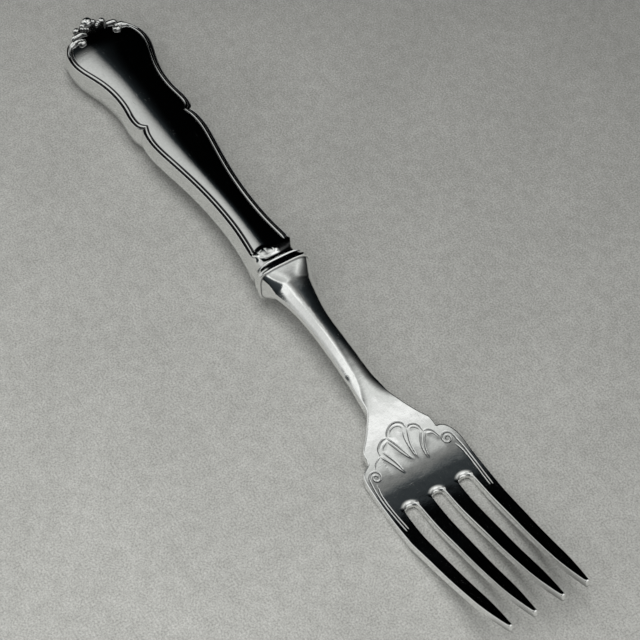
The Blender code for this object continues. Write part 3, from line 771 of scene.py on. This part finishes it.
def strip_rows(x, steps):
    """Y of the columns of the four strips at each station, shape (stations, 4, steps + 1)."""
    w = half_width(x)
    bounds = [(-w, -w)] + [slot_edges(x, slot) for slot in range(3)] + [(w, w)]
    back = w / half_width(ROOT_X)
    ahead = x > ROOT_X
    s = np.linspace(0.0, 1.0, steps + 1)
    strips = []
    for k in range(4):
        low = np.where(ahead | (k == 0), bounds[k][1], bounds[k][1] * back)
        high = np.where(ahead | (k == 3), bounds[k + 1][0], bounds[k + 1][0] * back)
        strips.append(low[:, None] + (high - low)[:, None] * s[None, :])
    rows = np.stack(strips, 1)
    # In the round neck the columns lie at equal angles instead
    turn = (np.arange(4)[:, None] * steps + np.arange(steps + 1)[None, :]) / (4 * steps)
    circle = -np.cos(math.pi * turn)[None] * w[:, None, None]
    share = smooth((x - NECK_END_X - 2.0) / (FLARE_LENGTH - 3.0))[:, None, None]
    return lerp(circle, rows, share)


def tree_of(cloud):
    """A search tree over points of the plan."""
    tree = kdtree.KDTree(len(cloud))
    for i, (px, py) in enumerate(cloud):
        tree.insert((px, py, 0.0), i)
    tree.balance()
    return tree


def nearest(tree, points):
    """The number of the tree's nearest point to each (x, y), and its distance."""
    hits = [tree.find((px, py, 0.0)) for px, py in points]
    return np.array([hit[1] for hit in hits], int), np.array([hit[2] for hit in hits])


def edge_trees(x):
    """Search trees over the outer edges of the blade and over the edges of its slots."""
    dense = np.unique(np.concatenate([x, np.linspace(FLAT_X, TIP_X, EDGE_STEPS)]))
    dense = dense[dense >= FLAT_X]
    w = half_width(dense)
    ahead = dense[dense >= ROOT_X]
    slots = [(ahead, y) for slot in range(3) for y in slot_edges(ahead, slot)]
    return [tree_of(np.vstack([np.stack([x, swayed(x, y)], 1) for x, y in edges]))
            for edges in ([(dense, w), (dense, -w)], slots)]


def edge_radius(x, slot):
    """Rounding of the edges: worn at the shoulder, filed at the slots' roots, crisp along the tines."""
    if slot:
        return lerp(ROOT_BEVEL, TINE_RADIUS, smooth((x - ROOT_X + 0.2) / 1.4))
    return lerp(EDGE_RADIUS, TINE_RADIUS, smooth((x - VOLUTE_X) / 9.0))


def engraving_curves():
    """Lines of the shell, the volutes and the edge threads: points, and half-width with depth."""
    fine, bold = (0.13, 0.07), (0.15, 0.12)
    drawn = [
        # Lobes of the shell, outer line and inner line
        ([(133.7, -5.4), (132.2, -4.9), (131.2, -3.5), (131.1, -2.3)], bold),
        ([(133.1, -4.5), (132.3, -3.7), (131.7, -2.5)], fine),
        ([(131.1, -2.3), (130.1, -1.5), (129.4, -0.3), (129.3, 0.9), (130.0, 2.0), (131.2, 2.3)], bold),
        ([(130.9, -1.6), (130.1, -0.6), (130.0, 0.6), (130.6, 1.4), (131.4, 1.4)], fine),
        ([(131.2, 2.3), (130.9, 3.1), (131.2, 4.1), (132.1, 4.7), (133.2, 4.9)], bold),
        ([(131.6, 2.6), (131.5, 3.4), (132.2, 4.2), (133.0, 4.4)], fine),
        ([(133.2, 4.9), (133.3, 5.8), (134.2, 6.7), (135.6, 7.2)], bold),
        ([(133.9, 5.2), (134.3, 6.2), (135.4, 6.8)], fine),
        # Ribs between the lobes, each a pair of lines
        ([(133.7, -5.4), (136.0, -4.1), (138.8, -3.0)], bold),
        ([(133.1, -4.5), (135.8, -3.35), (138.7, -2.8)], bold),
        ([(131.1, -2.3), (134.0, -1.0), (137.1, 0.0)], bold),
        ([(131.7, -2.6), (133.7, -1.8), (136.9, -0.25)], bold),
        ([(131.4, 1.4), (133.1, 0.8), (137.0, 0.75)], bold),
        ([(131.4, 2.3), (134.1, 1.3), (137.4, 1.0)], bold),
        ([(133.0, 4.4), (135.4, 3.0), (138.2, 2.65)], bold),
        ([(133.5, 5.1), (135.7, 3.6), (138.4, 2.9)], bold),
        # Foot of the shell
        ([(133.7, -5.4), (134.5, -6.9), (135.4, -7.6)], fine),
    ]
    # Edge threads that curl into the volutes
    turns = list(zip(np.linspace(0.0, 3.2 * math.pi, 40), np.linspace(1.4, 0.22, 40)))
    for hand, (cx, cy) in ((1.0, (136.6, 8.25)), (-1.0, (136.9, 8.35))):
        thread = [(149.8, 9.85), (146.5, 10.0), (143.0, 10.12), (139.6, 10.05)]
        thread += [(cx - r * math.sin(a), cy + r * math.cos(a)) for a, r in turns]
        inner = [(138.3, 9.0), (140.5, 9.5), (144.0, 9.55), (147.0, 9.42), (149.6, 9.3)]
        drawn += [([(px, hand * py) for px, py in line], bold) for line in (thread, inner)]
    return [(spline(points, CURVE_STEP) + (0.0, HEAD_SWAY), size) for points, size in drawn]


def engraving_depth(points):
    """Depth of the engraving under each (x, y) of the blade's top; each line starts and ends shallow."""
    depth = np.zeros(len(points))
    for curve, (width, deep) in engraving_curves():
        close = ((points >= curve.min(0) - width) & (points <= curve.max(0) + width)).all(1)
        found, far = nearest(tree_of(curve), points[close])
        count = np.arange(len(curve))
        ends = np.minimum(count, count[::-1]) * CURVE_STEP
        start = np.minimum(1.0, CUT_START + ends[found] / CUT_RUN)
        cut = deep * np.maximum(1.0 - (far / width) ** 2, 0.0) ** 1.5 * start
        depth[close] = np.maximum(depth[close], cut)
    return depth


def lobe_rise(points):
    """Height of the pillowed lobes of the shell over the blade at each (x, y)."""
    lines = engraving_curves()[:SHELL_LINES]
    edge = np.vstack([curve for curve, _ in lines[:LOBE_LINES:2]])
    edge = edge[np.argsort(edge[:, 1])]
    x, y = points.T
    inside = smooth((x - np.interp(y, edge[:, 1], edge[:, 0])) / 0.4)
    inside *= 1.0 - smooth((x - LOBE_END) / 3.0)
    inside[(y < edge[0, 1]) | (y > edge[-1, 1])] = 0.0
    _, far = nearest(tree_of(np.vstack([curve for curve, _ in lines])), points)
    return LOBE_RISE * inside * (1.0 - np.exp(-(far / 0.6) ** 2))


def head_sheet(x, steps, side):
    """X, Y, Z and darkening of the top (side 1) or the underside (side -1) of the head, for each strip: oxide
    in the engraving and the joint at the rim, painted shade towards the tips.
    """
    rows = strip_rows(x, steps)
    at = x[:, None, None]
    t, w, power = half_thickness(at), half_width(at), section_power(at)
    place_x = np.broadcast_to(at, rows.shape)
    oval = t * np.clip(1.0 - np.abs(rows / np.maximum(w, 1e-9)) ** power, 0.0, 1.0) ** (1.0 / power)
    rows = swayed(place_x, rows)
    plan = np.stack([place_x, rows], -1)
    flat = place_x > FLAT_X
    ahead = x > ROOT_X
    slab = np.full(rows.shape, FAR)
    for slot, tree in enumerate(edge_trees(x)):
        far = np.full(rows.shape, FAR)
        far[flat] = nearest(tree, plan[flat])[1]
        if slot:
            far[ahead, 1:, 0] = 0.0
            far[ahead, :3, -1] = 0.0
        else:
            far[:, 0, 0] = 0.0
            far[:, 3, -1] = 0.0
        across = edge_radius(place_x, slot)
        down = np.minimum(across, t * 0.8)
        d = np.minimum(far / across, 1.0)
        slab = np.minimum(slab, t - down * (1.0 - np.sqrt(1.0 - (1.0 - d) ** 2)))
    z = middle_height(at) + side * lerp(oval, slab, smooth((at - FLAT_X) / FLAT_LENGTH))
    depth = np.zeros(rows.shape)
    if side > 0:
        carved = (place_x > CARVED_START) & (place_x < CARVED_END)
        depth[carved] = engraving_depth(plan[carved])
        z[carved] += lobe_rise(plan[carved])
        dark = np.minimum(depth * 4.0, CARVED_TARNISH)
        depth += TIP_FACET * smooth((place_x - TIP_X + 0.55) / 0.7)
    else:
        # Painted shade: the underside, and so the side walls, darken towards the tips
        dark = TIP_PAINTED_SHADE * smooth((place_x - TIP_X + 7.0) / 4.5)
    dark = np.maximum(dark, GROOVE_TARNISH * (1.0 - smooth((place_x - TRUMPET_X) / GROOVE_LENGTH)))
    return np.stack([place_x, rows, z - depth, dark], -1)


def box_ring(x, half_w, half_h, power, angle):
    """A rounded box square to the axis, at the given angles."""
    c, s = np.cos(angle), np.sin(angle)
    y = half_w * np.sign(c) * np.abs(c) ** (2 / power)
    z = half_h * np.sign(s) * np.abs(s) ** (2 / power)
    return np.stack([np.full(len(angle), x), y, z], 1)


def head_mesh():
    """Points, faces and darkening (oxide and painted shade) of the head: four strips above and below, joined
    at the edges, and tang.
    """
    x = head_stations()
    root = int(np.searchsorted(x, ROOT_X))
    points, faces, sheets = [], [], []
    total = 0
    for side, steps in ((1.0, STRIP_STEPS), (-1.0, UNDER_STEPS)):
        sheet = head_sheet(x, steps, side)
        strips = [np.zeros((len(x), steps + 1), int) for _ in range(4)]
        for i in range(len(x)):
            # Up to the root the strips share the columns at their edges
            shared = 1 if i <= root else 0
            points.append(np.vstack([sheet[i, k, (shared if k else 0):] for k in range(4)]))
            for k in range(4):
                strips[k][i] = total + k * (steps + 1 - shared) + np.arange(steps + 1)
            total += len(points[-1])
        for strip in strips:
            faces += grid_faces(strip, side < 0)
        sheets.append(strips)
    top, under = sheets
    for k in range(4):
        low = slice(0, None) if k == 0 else slice(root, None)
        high = slice(0, None) if k == 3 else slice(root, None)
        faces += grid_faces(np.stack([under[k][low, 0], top[k][low, 0]], 1), True)
        faces += grid_faces(np.stack([under[k][high, -1], top[k][high, -1]], 1))
        faces.append(list(top[k][-1]) + list(under[k][-1][::-1]))
    over, below = ([int(i) for k in range(4) for i in sheet[k][0, (1 if k else 0):]] for sheet in sheets)
    mouth = over[::-1] + below[1:-1]
    # Flange and tang: rings that take their directions from the rim of the trumpet
    ring = np.vstack(points)[mouth, :3]
    across = ring[:, 1] / half_width(TRUMPET_X)
    above = ring[:, 2] / half_thickness(TRUMPET_X)
    turned = [np.sign(v) * np.abs(v) ** (RING_POWER / 2) for v in (above, across)]
    angle = np.arctan2(*turned)
    flange = [(0.02, 0.3), (0.04, 0.18), (0.07, 0.09), (0.12, 0.02), (0.18, 0.0), (0.25, 0.02), (0.35, 0.06),
              (0.55, 0.1), (0.9, 0.13)]
    rings = []
    for back, inset in flange:
        half_w, half_h = RING_WIDTH / 2 - inset, RING_HEIGHT / 2 - inset
        rings.append(box_ring(TRUMPET_X - back, half_w, half_h, RING_POWER + back / 3, angle))
    rings.append(box_ring(BOLSTER_X, TANG_WIDTH / 2, TANG_HEIGHT / 2, TANG_POWER, angle))
    rings.append(box_ring(BOLSTER_X - TANG_LENGTH, TANG_TIP / 2, TANG_TIP / 2, TANG_POWER, angle))
    last = np.array(mouth)
    for new in rings:
        numbers = total + np.arange(len(new))
        points.append(np.hstack([new, np.zeros((len(new), 1))]))
        total += len(new)
        faces += grid_faces(closed(np.stack([last, numbers])))
        last = numbers
    faces.append(list(last))
    points = np.vstack(points)
    return points[:, :3], faces, points[:, 3]


def collar_mesh():
    """The band at the mouth: a fine bead, a groove and a plain band, with a hole for the tang."""
    angle = full_turn(COLLAR_STEPS)
    profile = [(0.0, 0.2), (0.04, 0.08), (0.1, 0.02), (0.17, 0.0), (0.23, 0.02), (0.27, 0.07), (0.3, 0.15),
               (0.34, 0.22), (0.45, 0.25), (0.8, 0.22), (1.1, 0.17), (1.4, 0.13)]
    rings = []
    for at, inset in profile:
        share = at / COLLAR_LENGTH
        width, height = lerp(BAND_WIDTH, RING_WIDTH, share), lerp(BAND_HEIGHT, RING_HEIGHT, share)
        power = lerp(BAND_POWER, RING_POWER + FLANGE_LENGTH / 3, share)
        rings.append(box_ring(HANDLE_LENGTH + at, width / 2 - inset, height / 2 - inset, power, angle))
    hole = (TANG_WIDTH / 2 + TANG_FIT, TANG_HEIGHT / 2 + TANG_FIT)
    rings += [box_ring(x, *hole, TANG_POWER, angle) for x in (BOLSTER_X, HANDLE_LENGTH)]
    total = len(rings) * COLLAR_STEPS
    index = closed(closed(np.arange(total).reshape(len(rings), COLLAR_STEPS)).T).T
    return np.vstack(rings), grid_faces(index, True), np.zeros(total)


# Materials

def set_sockets(tree, node, sockets):
    """Gives sockets of a node a constant value, or links them to an output of another node."""
    for socket, value in sockets.items():
        if isinstance(value, bpy.types.NodeSocket):
            tree.links.new(value, node.inputs[socket])
        else:
            node.inputs[socket].default_value = value


def node_of(tree, kind, sockets, **settings):
    node = tree.nodes.new("ShaderNode" + kind)
    for key, value in settings.items():
        setattr(node, key, value)
    set_sockets(tree, node, sockets)
    return node


def noise(tree, place, scale, detail, turn=0.0):
    """Noise with one scale or a scale for each axis, turned about Z."""
    sockets = {"Vector": place, "Scale": np.broadcast_to(scale, 3).tolist(), "Rotation": (0.0, 0.0, turn)}
    spread = node_of(tree, "Mapping", sockets).outputs["Vector"]
    sockets = {"Vector": spread, "Scale": 1.0, "Detail": detail}
    return node_of(tree, "TexNoise", sockets).outputs["Fac"]


def ranged(tree, value, low, high, new_low=0.0, new_high=1.0):
    sockets = {"Value": value, "From Min": low, "From Max": high, "To Min": new_low, "To Max": new_high}
    return node_of(tree, "MapRange", sockets).outputs["Result"]


def added(tree, first, second):
    return node_of(tree, "Math", {0: first, 1: second}, operation="ADD").outputs["Value"]


def dotted(tree, place, direction):
    return node_of(tree, "VectorMath", {0: place, 1: direction}, operation="DOT_PRODUCT").outputs["Value"]


def mixed(tree, operation, first, *others):
    """Colours multiplied or lightened in turn."""
    for other in others:
        sockets = {"Factor": 1.0, 6: first, 7: other}
        first = node_of(tree, "Mix", sockets, data_type="RGBA", blend_type=operation).outputs[2]
    return first


def ramped(tree, value, steps):
    """A ramp of colours, each given with its place."""
    node = node_of(tree, "ValToRGB", {"Fac": value})
    elements = node.color_ramp.elements
    while len(elements) < len(steps):
        elements.new(0.5)
    for element, (at, colour) in zip(elements, steps):
        element.position = at
        element.color = (*colour, 1.0)
    return node.outputs["Color"]


def new_material(name):
    """A fresh material, its node tree and the object's own coordinates."""
    material = bpy.data.materials.new(name)
    material.use_nodes = True
    return material, material.node_tree, node_of(material.node_tree, "TexCoord", {}).outputs["Object"]


def silver(name, roughness, grain, wave):
    """Polished silver: clouded, wavy from handwork, scratched two ways, and darkened where marked, by oxide
    in the grooves and by painted shade.
    """
    material, tree, place = new_material(name)
    cloud = noise(tree, place, 90.0, 6.0)
    fine = noise(tree, place, 2600.0, 2.0)
    mottle = ranged(tree, noise(tree, place, 1700.0, 3.0), 0.35, 0.65, -0.16, 0.16)
    along = ranged(tree, noise(tree, place, (420.0, 4200.0, 1500.0), 2.0, 0.55), 0.66, 0.76)
    across = ranged(tree, noise(tree, place, (3600.0, 380.0, 1500.0), 2.0, -0.35), 0.68, 0.78)
    scratches = added(tree, along, across)
    tarnish_and_shade = node_of(tree, "Attribute", {}, attribute_name="tarnish_and_shade").outputs["Fac"]
    tone = ramped(tree, added(tree, cloud, mottle), [(0.3, (0.87, 0.875, 0.865)), (0.7, (0.945, 0.95, 0.94))])
    # The marked darkening mixes in near-black: oxide in grooves and engraving, and painted shade on the
    # crest, beside the leaf and at the tips
    sockets = {"Factor": tarnish_and_shade, 6: tone, 7: (0.03, 0.03, 0.033, 1.0)}
    darkened = node_of(tree, "Mix", sockets, data_type="RGBA").outputs[2]
    polish = ranged(tree, cloud, 0.3, 0.7, roughness * 0.75, roughness * 1.3)
    scuffed = added(tree, polish, ranged(tree, scratches, 0.0, 1.0, 0.0, 0.16))
    dulled = added(tree, scuffed, ranged(tree, tarnish_and_shade, 0.0, 1.0, 0.0, 0.25))
    height = added(tree, fine, ranged(tree, scratches, 0.0, 1.0, 0.0, -0.6))
    bump = node_of(tree, "Bump", {"Height": height, "Strength": grain, "Distance": 0.00002})
    swell = noise(tree, place, 330.0, 1.5, 0.4)
    sockets = {"Height": swell, "Strength": 1.0, "Distance": wave, "Normal": bump.outputs["Normal"]}
    normal = node_of(tree, "Bump", sockets).outputs["Normal"]
    set_sockets(tree, tree.nodes["Principled BSDF"],
                {"Base Color": darkened, "Metallic": 1.0, "Roughness": dulled, "Normal": normal})
    return material


def stone():
    """Pale grey floor with a fine grain, a faint mottle, and a painted falloff of light: brighter towards +X
    and -Y.
    """
    material, tree, place = new_material("pale_floor")

    def speckle(scale, detail, dark, light):
        return ramped(tree, noise(tree, place, scale, detail), [(0.3, dark), (0.7, light)])

    mottle = speckle(45.0, 3.0, (0.403, 0.409, 0.397), (0.448, 0.454, 0.442))
    patch = speckle(420.0, 2.0, (0.86, 0.86, 0.855), (1.0, 1.0, 1.0))
    grain = speckle(2700.0, 2.0, (0.62, 0.62, 0.615), (1.08, 1.08, 1.08))
    # Painted light: the floor's tone falls off away from +X and -Y
    painted_light_falloff = ranged(tree, dotted(tree, place, (1.2, -1.9, 0.0)), -0.25, 0.25, 0.75, 1.25)
    colour = mixed(tree, "MULTIPLY", mottle, patch, grain, painted_light_falloff)
    set_sockets(tree, tree.nodes["Principled BSDF"], {"Base Color": colour, "Roughness": 0.65})
    return material


def resin():
    """Dark brown pitch of the handle's filling, glossy, with pale grit in it."""
    material, tree, place = new_material("resin_pitch")
    grit = noise(tree, place, 700.0, 5.0)
    tone = ramped(tree, grit, [(0.35, (0.05, 0.024, 0.012)), (0.72, (0.16, 0.1, 0.06))])
    set_sockets(tree, tree.nodes["Principled BSDF"], {"Base Color": tone, "Roughness": 0.35})
    return material


# Build the pieces

handle_silver = silver("handle_silver_polished", 0.045, 0.14, 0.00001)
head_silver = silver("head_silver_polished", 0.1, 0.3, 0.00005)
collar_silver = silver("collar_silver_polished", 0.1, 0.2, 0.00001)
new_piece("front_shell", shell_mesh(1.0), ["handle_front_shell"], handle_silver)
new_piece("back_shell", shell_mesh(-1.0), ["handle_back_shell"], handle_silver)
new_piece("crest_ornament", crest_mesh(), [], handle_silver)
new_piece("blade_and_neck", head_mesh(), ["fork_head"], head_silver)
new_piece("mouth_band", collar_mesh(), ["mouth_collar"], collar_silver)
new_piece("seam_line", seam_mesh(), ["seam_solder"], handle_silver)
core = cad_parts["resin_core"]
core.data.materials.clear()
core.data.materials.append(resin())


# Stage, light and camera, in metres

FLOOR_REACH = 1.5
FLOOR_GAP = 0.00002
LAMP_COLOUR = (1.0, 0.99, 0.965)


def lamp(name, size, place, aim, power):
    """A square lamp that lights the floor and isn't mirrored in the silver."""
    light = bpy.data.lights.new(name, "AREA")
    light.shape = "SQUARE"
    light.size = size
    light.energy = power
    light.color = LAMP_COLOUR
    holder = new_object(name, light)
    holder.location = place
    x, y, z = np.array(aim, float) - np.array(place, float)
    holder.rotation_euler = (math.atan2(math.hypot(x, y), -z), 0.0, math.atan2(-x, y))
    holder.visible_glossy = False


corners = [(x * FLOOR_REACH, y * FLOOR_REACH, 0.0) for x, y in ((-1, -1), (1, -1), (1, 1), (-1, 1))]
floor_mesh = bpy.data.meshes.new("floor")
floor_mesh.from_pydata(corners, [], [(0, 1, 2, 3)])
floor_mesh.materials.append(stone())
floor = new_object("floor", floor_mesh)
floor.location.z = -FLOOR_GAP

lamp("key", 0.45, (-0.02, 0.0, 0.8), (0.0, 0.0, 0.0), 4.4)
lamp("fill", 0.7, (0.17, -0.31, 0.31), (0.02, 0.0, 0.0), 2.4)


def studio_world():
    """A soft studio for the silver to mirror: light overhead and on the near side, and dark elsewhere.

    Each zone is a ramp along a direction, from -1 (away) to 1 (towards it), of places and brightness,
    and it is level beyond its first and last place.
    """
    world = bpy.data.worlds.new("studio")
    world.use_nodes = True
    tree = world.node_tree
    place = node_of(tree, "TexCoord", {}).outputs["Generated"]

    def grey(value):
        """The dark tones are a little cooler than the light ones."""
        cool = 1.0 - min(1.0, value / 0.15)
        return value * (0.995 - 0.22 * cool), value * (1.0 - 0.03 * cool), value * (0.994 + 0.12 * cool)

    def zone(direction, steps):
        share = ranged(tree, dotted(tree, place, direction), -1.0, 1.0)
        return ramped(tree, share, [(0.5 + 0.5 * at, grey(value)) for at, value in steps])

    axis, side, up = (1.0, 0.0, 0.0), (0.0, 1.0, 0.0), (0.0, 0.0, 1.0)
    overhead = zone(axis, [
        (-1.0, 0.0006), (-0.58, 0.0008), (-0.53, 0.003), (-0.48, 0.012), (-0.41, 0.024), (-0.34, 0.036),
        (-0.305, 0.095), (-0.25, 0.16), (-0.16, 0.28), (-0.07, 0.5), (0.0, 0.74), (0.06, 0.7), (0.11, 0.58),
        (0.3, 0.5), (0.6, 0.45), (1.0, 0.35)])
    ceiling = zone(up, [
        (-1.0, 0.1), (0.1, 0.15), (0.3, 0.3), (0.5, 0.42), (0.65, 0.6), (0.85, 1.0)])
    far = zone(side, [(0.5, 1.0), (0.75, 0.65), (0.9, 0.3), (1.0, 0.15)])
    front = zone((0.93, 0.3, 0.2), [(0.7, 0.0), (0.82, 0.5), (0.92, 0.9), (1.0, 1.0)])
    # The pale strip along the left of the panel, and where it ends towards the mouth and the butt
    strip = zone(side, [
        (-1.0, 0.48), (-0.3, 0.55), (-0.07, 0.56), (0.0, 0.52), (0.04, 0.45), (0.07, 0.36), (0.1, 0.25),
        (0.12, 0.13), (0.145, 0.025), (0.2, 0.008), (0.26, 0.004), (0.35, 0.001), (0.5, 0.0)])
    strip_front = zone((0.868, 0.496, 0.0), [(-0.5, 1.0), (-0.44, 0.2), (-0.38, 0.01), (1.0, 0.0)])
    strip_butt = zone(axis, [(-1.0, 0.0), (-0.83, 0.02), (-0.79, 0.3), (-0.75, 0.9), (-0.7, 1.0)])
    # The bright line on the ridge of the neck
    ridge = zone(side, [
        (-0.56, 0.0), (-0.47, 0.6), (-0.44, 1.0), (-0.36, 1.0), (-0.3, 0.62), (-0.2, 0.33),
        (-0.09, 0.15), (0.15, 0.055), (0.5, 0.02), (0.7, 0.012), (0.9, 0.004)])
    ridge_end = zone(axis, [(-1.0, 0.0), (-0.52, 0.01), (-0.47, 0.8), (-0.44, 1.0)])
    # The near side of the room, less bright behind the butt
    near = zone(side, [
        (-1.0, 0.4), (-0.93, 0.5), (-0.88, 0.7), (-0.8, 1.0), (-0.54, 1.0), (-0.42, 0.95), (-0.34, 0.2),
        (-0.28, 0.0)])
    near_end = zone(axis, [
        (-1.0, 0.55), (-0.6, 0.62), (-0.46, 0.68), (-0.4, 0.7), (-0.32, 0.78), (-0.22, 0.95), (1.0, 1.0)])
    window = zone((0.3, 0.25, 0.92), [(0.955, 0.0), (0.98, 1.0)])
    # The dark figure behind the camera
    person = zone((0.458, -0.866, 0.204), [(0.67, 1.0), (0.76, 0.08), (0.9, 0.04), (1.0, 0.03)])
    groups = [(overhead, ceiling, far), (front,), (strip, strip_front, strip_butt), (ridge, ridge_end),
              (near, near_end), (window,)]
    light = mixed(tree, "LIGHTEN", *(mixed(tree, "MULTIPLY", *group) for group in groups))
    set_sockets(tree, tree.nodes["Background"], {"Color": mixed(tree, "MULTIPLY", light, person)})
    return world


scene.world = studio_world()
# The floor takes its light from the two lamps alone; the zones of the world are only for the silver
scene.world.cycles_visibility.diffuse = False

camera_data = bpy.data.cameras.new("camera")
camera_data.sensor_width = 36.0
camera_data.lens = 102.08
camera_data.clip_start = 0.01
camera = new_object("camera", camera_data)
camera.location = (0.19539, -0.11340, 0.29965)
camera.rotation_euler = (math.radians(36.339), 0.0, math.radians(58.169))
scene.camera = camera
scene.view_settings.view_transform = "Standard"
